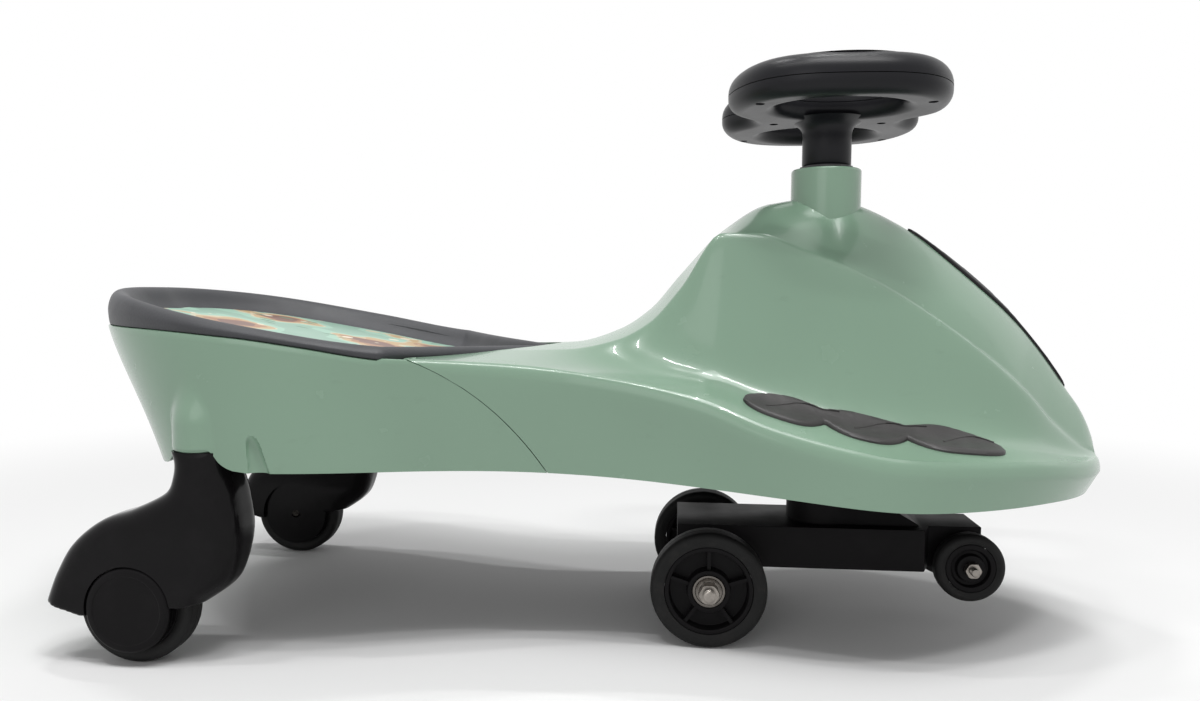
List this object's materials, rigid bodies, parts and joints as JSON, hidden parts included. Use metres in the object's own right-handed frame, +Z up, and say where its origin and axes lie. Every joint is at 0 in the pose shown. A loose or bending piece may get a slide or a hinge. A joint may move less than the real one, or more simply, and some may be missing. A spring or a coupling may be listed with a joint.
{
  "type": "child's ride-on swing car",
  "caption": "Low ride-on swing car: moulded body with a scooped seat, twin trailing casters, and a steering wheel on a column that turns a wheeled front truck.",
  "frame": {"origin": "on the floor under the middle of the car's length and width", "axes": "+X points forward, +Y to the rider's left, +Z up"},
  "size_m": [0.722, 0.287, 0.3935],
  "materials": {
    "sage_shell": "glossy moulded plastic, sage green",
    "tray_plastic": "matte grained plastic, near black",
    "panel_print": "printed sheet, light mint",
    "pad_plastic": "embossed dark grey plastic",
    "trim_plastic": "glossy black plastic",
    "pan_plastic": "matte black plastic",
    "black_plastic": "satin black plastic",
    "hood_plastic": "glossy black plastic",
    "wheel_rubber": "matte black rubber",
    "bush_nylon": "black nylon",
    "steel": "zinc plated steel"
  },
  "bodies": {
    "body": {"caster_bush_left": "bush_nylon", "caster_bush_right": "bush_nylon", "column_bush_lower": "bush_nylon", "column_bush_upper": "bush_nylon", "foot_pad_left": "pad_plastic", "foot_pad_right": "pad_plastic", "front_belly_pan": "pan_plastic", "front_pan_screw_left": "steel", "front_pan_screw_right": "steel", "front_shell": "sage_shell", "nose_trim": "trim_plastic", "rear_belly_pan": "pan_plastic", "rear_pan_screw_left": "steel", "rear_pan_screw_right": "steel", "rear_shell": "sage_shell", "seat_panel": "panel_print", "seat_rim": "tray_plastic"},
    "steering": {"column_pin_lower": "steel", "column_pin_upper": "steel", "front_axle": "steel", "front_axle_nut_left": "steel", "front_axle_nut_right": "steel", "roller_axle": "steel", "roller_axle_nut_left": "steel", "roller_axle_nut_right": "steel", "steering_column": "steel", "steering_wheel_bottom": "black_plastic", "steering_wheel_top": "black_plastic", "truck_body": "black_plastic", "wheel_screw_front_left": "steel", "wheel_screw_front_middle": "steel", "wheel_screw_front_right": "steel", "wheel_screw_rear_left": "steel", "wheel_screw_rear_middle": "steel", "wheel_screw_rear_right": "steel"},
    "front_wheel_left": {"front_wheel_left_bearing_inner": "steel", "front_wheel_left_bearing_outer": "steel", "front_wheel_left_rim": "black_plastic", "front_wheel_left_tyre": "wheel_rubber"},
    "roller_left": {"roller_left_core": "black_plastic", "roller_left_tyre": "wheel_rubber"},
    "caster_left": {"caster_left_axle": "steel", "caster_left_cap": "hood_plastic", "caster_left_hood": "hood_plastic", "caster_left_kingpin": "steel"},
    "caster_wheel_left": {"caster_wheel_left_core": "black_plastic", "caster_wheel_left_tyre": "wheel_rubber"},
    "front_wheel_right": {"front_wheel_right_bearing_inner": "steel", "front_wheel_right_bearing_outer": "steel", "front_wheel_right_rim": "black_plastic", "front_wheel_right_tyre": "wheel_rubber"},
    "roller_right": {"roller_right_core": "black_plastic", "roller_right_tyre": "wheel_rubber"},
    "caster_right": {"caster_right_axle": "steel", "caster_right_cap": "hood_plastic", "caster_right_hood": "hood_plastic", "caster_right_kingpin": "steel"},
    "caster_wheel_right": {"caster_wheel_right_core": "black_plastic", "caster_wheel_right_tyre": "wheel_rubber"}
  },
  "joints": [
    {"name": "steering_turn", "type": "hinge", "parent": "body", "child": "steering", "pos_m": [0.1645, 0, 0.2], "axis": [0, 0, 1], "continuous": true},
    {"name": "front_wheel_left_spin", "type": "hinge", "parent": "steering", "child": "front_wheel_left", "pos_m": [0.0805, 0.062, 0.04], "axis": [0, 1, 0], "continuous": true},
    {"name": "roller_left_spin", "type": "hinge", "parent": "steering", "child": "roller_left", "pos_m": [0.265, 0.0296, 0.0503], "axis": [0, 1, 0], "continuous": true},
    {"name": "caster_left_swivel", "type": "hinge", "parent": "body", "child": "caster_left", "pos_m": [-0.245, 0.123, 0.15], "axis": [0, 0, 1], "continuous": true},
    {"name": "caster_wheel_left_spin", "type": "hinge", "parent": "caster_left", "child": "caster_wheel_left", "pos_m": [-0.292, 0.123, 0.038], "axis": [0, 1, 0], "continuous": true},
    {"name": "front_wheel_right_spin", "type": "hinge", "parent": "steering", "child": "front_wheel_right", "pos_m": [0.0805, -0.062, 0.04], "axis": [0, 1, 0], "continuous": true},
    {"name": "roller_right_spin", "type": "hinge", "parent": "steering", "child": "roller_right", "pos_m": [0.265, -0.0296, 0.0503], "axis": [0, 1, 0], "continuous": true},
    {"name": "caster_right_swivel", "type": "hinge", "parent": "body", "child": "caster_right", "pos_m": [-0.245, -0.123, 0.15], "axis": [0, 0, 1], "continuous": true},
    {"name": "caster_wheel_right_spin", "type": "hinge", "parent": "caster_right", "child": "caster_wheel_right", "pos_m": [-0.292, -0.123, 0.038], "axis": [0, 1, 0], "continuous": true}
  ]
}
